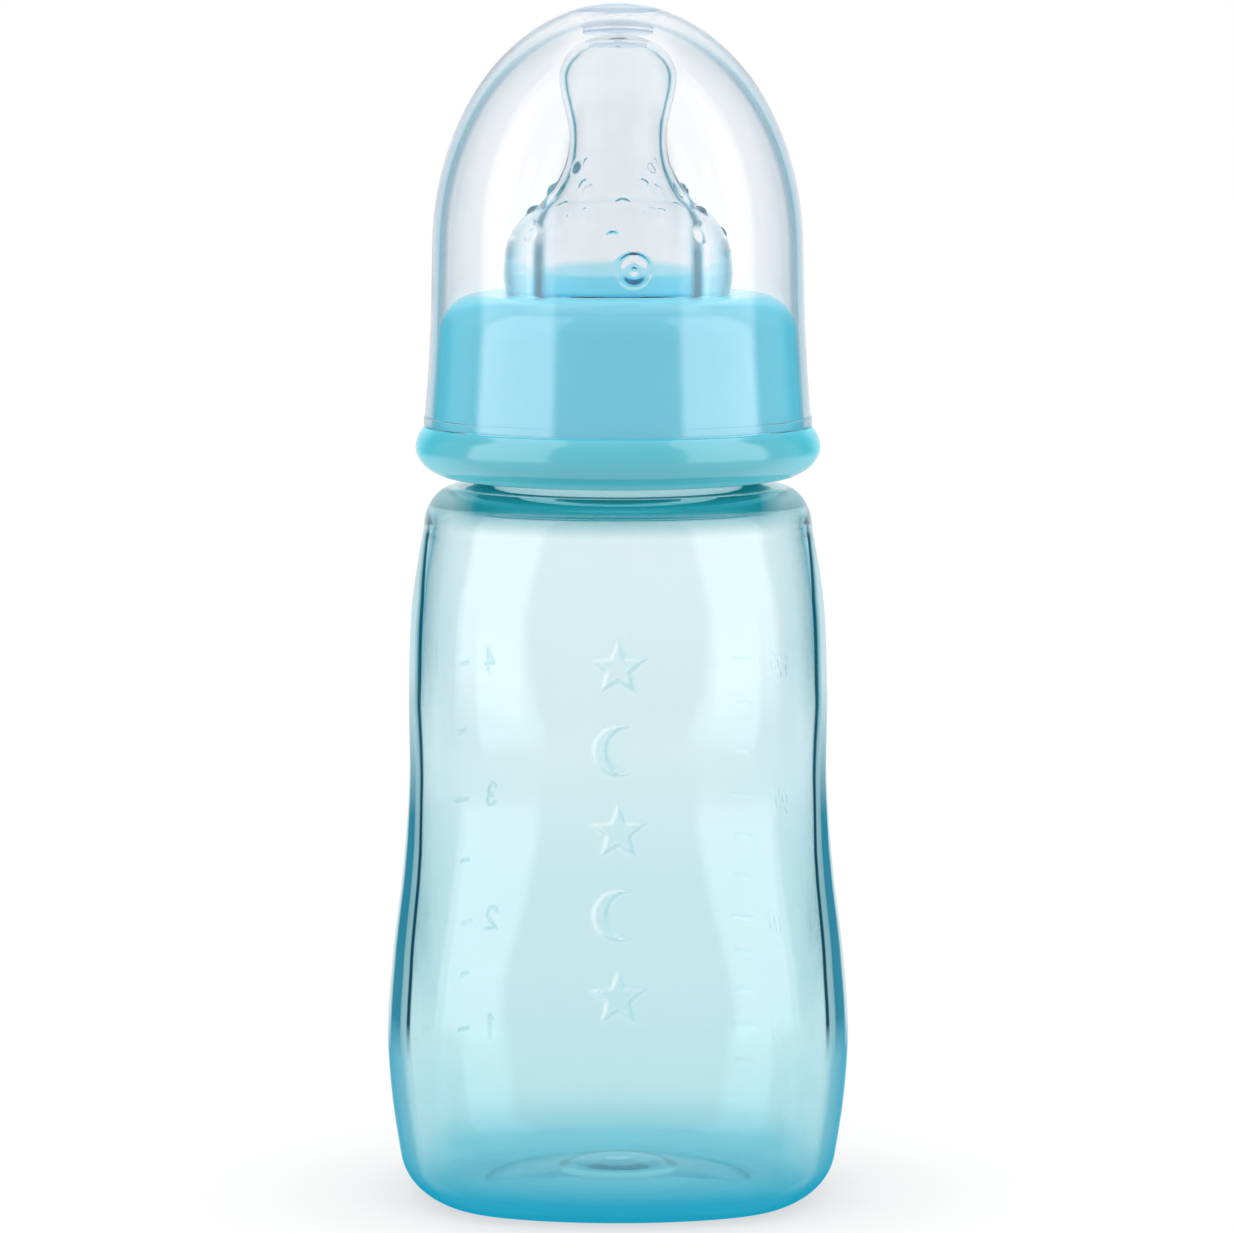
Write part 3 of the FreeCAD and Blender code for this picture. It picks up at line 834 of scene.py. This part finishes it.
# The glow of the inner floor, which dies out over these heights in metres.
FLOOR_GLOW_Z = (0.0065, 0.0045)
FLOOR_GLOW_COLOUR = (0.13, 0.48, 0.60)
FLOOR_GLOW_SHARE = 0.18
# Painted deep colour of the foot and of the shoulder, partly the tint of the thick plastic and
# partly painted shade, and how much it covers, by height over the body.
BAND_COLOURS = [
    (0.0, (0.0, 0.34, 0.53)), (0.05, (0.01, 0.36, 0.54)), (0.12, (0.08, 0.46, 0.60)),
    (0.9, (0.03, 0.34, 0.42)), (1.0, (0.01, 0.31, 0.39)),
]
BAND_AMOUNTS = greys((0.0, 0.92), (0.032, 0.88), (0.046, 0.6), (0.065, 0.35), (0.1, 0.1), (0.15, 0),
                     (0.95, 0), (0.967, 0.5), (0.992, 0.85), (1.0, 0.4))


def cover(nodes, links, share, colour, shader):
    """shader with an even glow laid over share of it. colour is a socket or a plain triple."""
    glow = nodes.new("ShaderNodeEmission")
    if isinstance(colour, tuple):
        glow.inputs["Color"].default_value = (*colour, 1)
    else:
        links.new(colour, glow.inputs["Color"])
    return mix_shaders(nodes, links, share, shader, glow.outputs["Emission"])


def outline_marks(nodes, links, shader):
    """Painted highlight and shade on the sloping edges of the raised marks, laid on as an even
    glow: pale where they face up and left, and darker where they face down and right."""
    relief = attribute(nodes, "relief")
    geometry = nodes.new("ShaderNodeNewGeometry")
    turned = nodes.new("ShaderNodeVectorTransform")
    turned.vector_type = "NORMAL"
    turned.convert_from = "WORLD"
    turned.convert_to = "CAMERA"
    links.new(geometry.outputs["Normal"], turned.inputs["Vector"])
    along = nodes.new("ShaderNodeVectorMath")
    along.operation = "DOT_PRODUCT"
    along.inputs[1].default_value = (0.7, -0.7, 0.0)
    links.new(turned.outputs["Vector"], along.inputs[0])
    level = remap(nodes, links, along.outputs["Value"], -0.3, 0.3)
    colour = ramp(nodes, links, level,
                  [(0.0, (0.90, 0.98, 1.0)), (0.4, (0.70, 0.90, 0.93)), (0.6, (0.48, 0.76, 0.82)),
                   (1.0, (0.34, 0.64, 0.71))])
    share = calculate(nodes, links, "MULTIPLY", relief, 0.6)
    return cover(nodes, links, share, colour, shader)


def trapped_light(nodes, links, shader, colour, depth):
    """Light that has bounced about inside the plastic more than depth times comes out as an even
    glow of the plastic's own colour."""
    path = nodes.new("ShaderNodeLightPath")
    trapped = calculate(nodes, links, "GREATER_THAN", path.outputs["Ray Depth"], depth)
    return cover(nodes, links, trapped, colour, shader)


def facing_out(nodes, links):
    """1 on the outer face of the wall seen from outside, 0 elsewhere."""
    geometry = nodes.new("ShaderNodeNewGeometry")
    front = calculate(nodes, links, "SUBTRACT", attribute(nodes, "outer_face"),
                      geometry.outputs["Backfacing"])
    return calculate(nodes, links, "MAXIMUM", front, 0.0)


def floor_glow(nodes, links, shader):
    """The inner floor, above the thick foot, glows with the light gathered in it."""
    inner = calculate(nodes, links, "SUBTRACT", 1.0, attribute(nodes, "outer_face"))
    low = by_height(nodes, links, *FLOOR_GLOW_Z)
    share = calculate(nodes, links, "MULTIPLY", inner, low)
    share = calculate(nodes, links, "MULTIPLY", share, FLOOR_GLOW_SHARE)
    return cover(nodes, links, share, FLOOR_GLOW_COLOUR, shader)


def aside(nodes, links):
    """0 in front of the bottle's axis as the camera sees it, 1 well to either side of it."""
    across = calculate(nodes, links, "ABSOLUTE", position(nodes, links, "Camera")["X"])
    return remap(nodes, links, across, *ASIDE_X)


def shifted_facing(nodes, links, level):
    """Facing, moved so that the edge bands sit where they belong at this height."""
    start = ramp(nodes, links, level, EDGE_START)
    shift = calculate(nodes, links, "SUBTRACT", start, EDGE_START_LOW)
    return calculate(nodes, links, "ADD", facing_ratio(nodes), shift)


def wall_seen_edge_on(nodes, links, shader):
    """Painted light and shade, laid on as an even glow by angle of view and height. Along the
    outline one looks down the length of the wall: a painted dark line where its inner face starts,
    deep aqua or pale outside that, and a painted pale rim. In the foot it is all saturated aqua,
    and the foot and the shoulder are deep in colour seen from the front as well. This deep aqua
    stands partly for the tint of the thick plastic and partly for painted shade. The shoulder's
    pale corners to either side of the axis are painted light."""
    front = facing_out(nodes, links)
    level = by_height(nodes, links, 0.0, SHOULDER_TOP[1] * MM)
    facing = shifted_facing(nodes, links, level)
    low = by_height(nodes, links, *FOOT_TO_SIDE_Z)
    waist = by_height(nodes, links, *SIDE_TO_WAIST_Z)
    edge = mix_colours(nodes, links, waist, ramp(nodes, links, facing, LOW_EDGE_COLOURS),
                       ramp(nodes, links, facing, HIGH_EDGE_COLOURS))
    colour = mix_colours(nodes, links, low, ramp(nodes, links, facing, FOOT_COLOURS), edge)
    edge = mix_colours(nodes, links, waist, ramp(nodes, links, facing, LOW_EDGE_AMOUNTS),
                       ramp(nodes, links, facing, HIGH_EDGE_AMOUNTS))
    amount = mix_colours(nodes, links, low, ramp(nodes, links, facing, FOOT_AMOUNTS), edge)
    below = by_height(nodes, links, *EDGE_END_Z)
    share = calculate(nodes, links, "MULTIPLY", front, amount)
    share = calculate(nodes, links, "MULTIPLY", share, below)
    edged = cover(nodes, links, share, colour, shader)
    corner = by_height(nodes, links, *CORNER_Z)
    corner = calculate(nodes, links, "MULTIPLY", aside(nodes, links), corner)
    rim = ramp(nodes, links, facing, greys((0.98, 1), (1.0, 0.25)))
    share = calculate(nodes, links, "MULTIPLY", front, ramp(nodes, links, level, BAND_AMOUNTS))
    share = calculate(nodes, links, "MULTIPLY", share, rim)
    colour = ramp(nodes, links, level, BAND_COLOURS)
    colour = mix_colours(nodes, links, corner, colour, CORNER_COLOUR)
    return cover(nodes, links, share, colour, edged)


def tinted_plastic():
    """Aqua clear plastic: nearly colourless on the surface, with the tint inside the wall, so it
    deepens where the wall is thick or seen edge on, and most of all in the foot. Over that lie
    painted light and shade: dark lines, deep aqua bands and pale rims where the wall is seen edge
    on and on the foot and shoulder, lit and shaded edges on the raised marks, and painted glows on
    the inner floor and for light trapped in the wall."""
    material, nodes, links, shader, output = new_material("tinted_blow_moulded_plastic")
    wave = noise(nodes, links, 90.0, 2.0)
    pale = ramp(nodes, links, wave, [(0.3, (0.955, 0.973, 0.973)), (0.7, (0.97, 0.98, 0.98))])
    foot = ramp(nodes, links, by_height(nodes, links, 0.0, 0.008),
                [(0.0, (0.30, 0.74, 0.84)), (0.28, (0.42, 0.80, 0.88)), (0.5, (0.75, 0.93, 0.95)),
                 (1.0, (1, 1, 1))])
    links.new(multiply(nodes, links, pale, foot), shader.inputs["Base Color"])
    set_inputs(shader, Roughness=0.015, IOR=1.49)
    shader.inputs["Transmission Weight"].default_value = 1.0
    ripple(nodes, links, shader, wave, 0.12, 0.0003)
    volume = absorb(nodes, links, output, (0.10, 0.74, 0.82))
    height = position(nodes, links, "Object")["Z"]
    links.new(remap(nodes, links, height, 0.002, 0.022, 210.0, 105.0), volume.inputs["Density"])
    lit = floor_glow(nodes, links, shader.outputs["BSDF"])
    marked = outline_marks(nodes, links, lit)
    edged = wall_seen_edge_on(nodes, links, marked)
    glowing = trapped_light(nodes, links, edged, (0.10, 0.46, 0.56), 9.0)
    let_lamps_through(nodes, links, glowing, output, (0.90, 0.905, 0.91))
    material.cycles.emission_sampling = "NONE"
    return material


def near_stopper(nodes, links):
    """1 on the solid stopper under the hood's crown, 0 elsewhere."""
    place = nodes.new("ShaderNodeTexCoord")
    offset = nodes.new("ShaderNodeVectorMath")
    offset.operation = "DISTANCE"
    offset.inputs[1].default_value = (0, 0, (HOOD_HIGH[2] - 3.4) * MM)
    links.new(place.outputs["Object"], offset.inputs[0])
    return remap(nodes, links, offset.outputs["Value"], 0.0040, 0.0055, 1.0, 0.0, smooth=True)


def clear_plastic():
    material, nodes, links, shader, output = new_material("clear_hood_plastic")
    wave = noise(nodes, links, 70.0, 1.0)
    stopper = near_stopper(nodes, links)
    tint = ramp(nodes, links, wave, [(0.3, (0.962, 0.963, 0.972)), (0.7, (0.972, 0.973, 0.98))])
    pad = ramp(nodes, links, stopper, [(0.0, (1, 1, 1)), (1.0, (0.76, 0.88, 0.98))])
    links.new(multiply(nodes, links, tint, pad), shader.inputs["Base Color"])
    set_inputs(shader, Roughness=0.01, IOR=1.49)
    clearness = remap(nodes, links, stopper, 0.0, 1.0, 1.0, 0.45)
    links.new(clearness, shader.inputs["Transmission Weight"])
    ripple(nodes, links, shader, wave, 0.1, 0.0005)
    set_inputs(absorb(nodes, links, output, (0.70, 0.85, 0.98)), Density=20.0)
    # Painted shade: an even grey-blue glow laid along the outline where the hood is seen edge on.
    facing = facing_ratio(nodes)
    painted_outline_colour = ramp(nodes, links, facing, [(0.7, (0.45, 0.62, 0.76)), (0.8, (0.30, 0.48, 0.64))])
    amount = ramp(nodes, links, facing, greys((0.70, 0), (0.77, 0.4), (0.83, 0.4), (0.93, 0)))
    edged = cover(nodes, links, amount, painted_outline_colour, shader.outputs["BSDF"])
    let_lamps_through(nodes, links, edged, output, (0.96, 0.97, 0.98))
    material.cycles.emission_sampling = "NONE"
    return material


def silicone():
    """Clear silicone. The foot of the bore picks up the colour of the ring round it: painted light,
    the base colour tinted aqua by height in place of the ring's light seen in the silicone.
    """
    material, nodes, links, shader, output = new_material("translucent_silicone")
    cloud = noise(nodes, links, 400.0, 3.0)
    clear = ramp(nodes, links, cloud, [(0.3, (0.93, 0.95, 0.96)), (0.7, (0.96, 0.97, 0.975))])
    span = (RING_HIGH[2] - 1.6) * MM, (RING_HIGH[2] + 2.7) * MM
    glow = ramp(nodes, links, by_height(nodes, links, *span),
                [(0.0, (0.18, 0.68, 0.85)), (0.46, (0.22, 0.72, 0.88)), (0.54, (0.42, 0.84, 0.95)),
                 (0.93, (0.50, 0.87, 0.96)), (1.0, (1, 1, 1))])
    links.new(multiply(nodes, links, clear, glow), shader.inputs["Base Color"])
    set_inputs(shader, Roughness=0.03, IOR=1.2)
    shader.inputs["Transmission Weight"].default_value = 1.0
    ripple(nodes, links, shader, cloud, 0.1, 0.0002)
    glowing = trapped_light(nodes, links, shader.outputs["BSDF"], (0.62, 0.80, 0.86), 11.0)
    let_lamps_through(nodes, links, glowing, output, (0.93, 0.95, 0.96))
    material.cycles.emission_sampling = "NONE"
    return material


def ring_plastic():
    material, nodes, links, shader, _ = new_material("aqua_moulded_plastic")
    fine = noise(nodes, links, 2500.0, 2.0)
    broad = noise(nodes, links, 60.0, 2.0)
    colour = ramp(nodes, links, broad, [(0.25, (0.127, 0.65, 0.79)), (0.75, (0.146, 0.69, 0.83))])
    # Painted shade: the base colour is darker and greener low on the bead, where less light falls.
    bead = ramp(nodes, links, by_height(nodes, links, RING_LOW[2] * MM, (RING_LOW[2] + 8) * MM),
                [(0.0, (0.66, 0.80, 0.77)), (0.70, (0.74, 0.85, 0.82)), (0.80, (1, 1, 1))])
    facing = facing_ratio(nodes)
    # Painted light and shade: the base colour is darker where the ring faces the camera and full
    # where it is seen edge on.
    side = ramp(nodes, links, facing, greys((0.4, 0.76), (0.75, 1.0)))
    tinted = multiply(nodes, links, colour, bead)
    links.new(multiply(nodes, links, tinted, side), shader.inputs["Base Color"])
    shine = ramp(nodes, links, facing, greys((0.5, 1), (0.8, 0.12)))
    links.new(shine, shader.inputs["Coat Weight"])
    links.new(calculate(nodes, links, "MULTIPLY", shine, 0.5), shader.inputs["Specular IOR Level"])
    links.new(remap(nodes, links, fine, 0.0, 1.0, 0.14, 0.2), shader.inputs["Roughness"])
    set_inputs(shader, IOR=1.5)
    shader.inputs["Coat Roughness"].default_value = 0.06
    shader.inputs["Subsurface Weight"].default_value = 0.25
    shader.inputs["Subsurface Radius"].default_value = (0.3, 1.0, 1.2)
    shader.inputs["Subsurface Scale"].default_value = 0.0015
    ripple(nodes, links, shader, broad, 0.15, 0.0005)
    return material


# ---------------------------------------------------------------- studio

CAMERA_DISTANCE = 0.737
CAMERA_HEIGHT = 0.1474
CAMERA_PITCH_DEG = 6.08
IMAGE_WIDTH = 1233
FOCAL_LENGTH_PX = 6240
SIDE_SHIFT_PX = -1.5
SENSOR_MM = 36.0
TOP_LIGHT = 1.2
# Floor colour by how open it is to the sky, 0 to 1.
FLOOR_SHADE = [(0.0, (0.64, 0.67, 0.69)), (0.45, (0.78, 0.81, 0.82)), (0.8, (0.95, 0.96, 0.965)),
               (0.97, (1, 1, 1))]
TABLE = (0.93, 0.96, 0.97)
# Colour of the surroundings by angle from straight behind the bottle, in degrees: white backdrop,
# grey-blue side wall, a tall soft box on each side in front, and the dim room round the camera.
SURROUND = (
    (0, (1.0, 1.0, 1.0)), (16, (0.98, 0.99, 1.0)), (23, (0.80, 0.93, 0.98)),
    (30, (0.35, 0.62, 0.72)), (36, (0.08, 0.29, 0.37)), (48, (0.04, 0.20, 0.27)),
    (62, (0.34, 0.52, 0.62)), (84, (0.50, 0.66, 0.76)), (89, (2.1, 2.15, 2.2)),
    (138, (2.1, 2.15, 2.2)), (143, (0.72, 0.76, 0.80)), (180, (0.68, 0.72, 0.76)),
)
# A colour ramp holds values up to 1, so the colours go in as shares of this.
BRIGHTEST = 2.2


def camera_azimuth(nodes, links, distance=0.0):
    """Angle from straight ahead of the camera, as 0 to 1 for 0 to 180 degrees either way, and
    height, about an upright axis standing distance in front of it."""
    place = position(nodes, links, "Camera")
    depth = calculate(nodes, links, "SUBTRACT", place["Z"], distance)
    azimuth = calculate(nodes, links, "ARCTAN2", place["X"], depth)
    size = calculate(nodes, links, "ABSOLUTE", azimuth)
    return calculate(nodes, links, "DIVIDE", size, math.pi), place["Y"]


def surroundings(nodes, links, azimuth):
    """Colour seen round about at this azimuth, 0 to 1."""
    stops = [(angle / 180, tuple(v / BRIGHTEST for v in colour)) for angle, colour in SURROUND]
    dim = ramp(nodes, links, azimuth, stops)
    gain = nodes.new("ShaderNodeVectorMath")
    gain.operation = "SCALE"
    gain.inputs["Scale"].default_value = BRIGHTEST
    links.new(dim, gain.inputs[0])
    return gain.outputs["Vector"]


def floor_material():
    """White sweep. The camera sees it white, with a soft grey shade where something stands on it.
    The bottle sees a bright table that passes into the surroundings farther out."""
    material, nodes, links, shader, output = new_material("white_floor")
    nodes.remove(shader)
    grain = noise(nodes, links, 30.0, 2.0)
    white = ramp(nodes, links, grain, [(0.0, (1.0, 1.0, 1.0)), (1.0, (1.02, 1.02, 1.02))])
    open_sky = nodes.new("ShaderNodeAmbientOcclusion")
    set_inputs(open_sky, Distance=0.03)
    open_sky.samples = 8
    shade = ramp(nodes, links, open_sky.outputs["AO"], FLOOR_SHADE)
    lit = nodes.new("ShaderNodeEmission")
    links.new(multiply(nodes, links, white, shade), lit.inputs["Color"])
    azimuth, _ = camera_azimuth(nodes, links, CAMERA_DISTANCE)
    far = surroundings(nodes, links, azimuth)
    table = nodes.new("ShaderNodeTexCoord")
    reach = nodes.new("ShaderNodeVectorMath")
    reach.operation = "LENGTH"
    links.new(table.outputs["Object"], reach.inputs[0])
    near = remap(nodes, links, reach.outputs["Value"], 0.08, 0.8, 1.0, 0.0, smooth=True)
    seen = nodes.new("ShaderNodeEmission")
    links.new(mix_colours(nodes, links, near, far, TABLE), seen.inputs["Color"])
    path = nodes.new("ShaderNodeLightPath")
    mixed = mix_shaders(nodes, links, path.outputs["Is Camera Ray"], seen.outputs["Emission"],
                        lit.outputs["Emission"])
    links.new(mixed, output.inputs["Surface"])
    return material


def studio_world():
    """Soft studio light that keeps its place relative to the camera, brighter overhead. The
    camera itself sees plain white."""
    world = bpy.data.worlds.new("studio")
    bpy.context.scene.world = world
    world.use_nodes = True
    nodes = world.node_tree.nodes
    links = world.node_tree.links
    nodes.clear()
    azimuth, height = camera_azimuth(nodes, links)
    round_about = surroundings(nodes, links, azimuth)
    overhead = remap(nodes, links, height, 0.8, 0.92, smooth=True)
    sky = mix_colours(nodes, links, overhead, round_about, (TOP_LIGHT,) * 3)
    around = nodes.new("ShaderNodeBackground")
    links.new(sky, around.inputs["Color"])
    white = nodes.new("ShaderNodeBackground")
    white.inputs["Color"].default_value = (1, 1, 1, 1)
    path = nodes.new("ShaderNodeLightPath")
    mixed = mix_shaders(nodes, links, path.outputs["Is Camera Ray"], around.outputs["Background"],
                        white.outputs["Background"])
    output = nodes.new("ShaderNodeOutputWorld")
    links.new(mixed, output.inputs["Surface"])


def make_floor():
    bpy.ops.mesh.primitive_plane_add(size=6.0, location=(0, 0, -0.0001))
    floor = bpy.context.object
    floor.name = "studio_floor"
    floor.data.materials.append(floor_material())


def make_camera():
    camera_data = bpy.data.cameras.new("camera")
    camera_data.sensor_width = SENSOR_MM
    camera_data.lens = SENSOR_MM * FOCAL_LENGTH_PX / IMAGE_WIDTH
    camera_data.clip_start = 0.01
    camera_data.shift_x = SIDE_SHIFT_PX / IMAGE_WIDTH
    camera = bpy.data.objects.new("camera", camera_data)
    camera.location = (0, -CAMERA_DISTANCE, CAMERA_HEIGHT)
    camera.rotation_euler = Euler((math.radians(90 - CAMERA_PITCH_DEG), 0, 0))
    bpy.context.scene.collection.objects.link(camera)
    bpy.context.scene.camera = camera


body = make_body()
ring = make_ring()
nipple = make_nipple()
hood = make_hood()
body.data.materials.append(tinted_plastic())
ring.data.materials.append(ring_plastic())
nipple.data.materials.append(silicone())
hood.data.materials.append(clear_plastic())
studio_world()
make_floor()
make_camera()
scene = bpy.context.scene
scene.view_settings.view_transform = "Standard"
# Light crosses many walls of clear plastic, so it needs more bounces than usual.
scene.cycles.max_bounces = 32
scene.cycles.transmission_bounces = 32
scene.cycles.transparent_max_bounces = 24
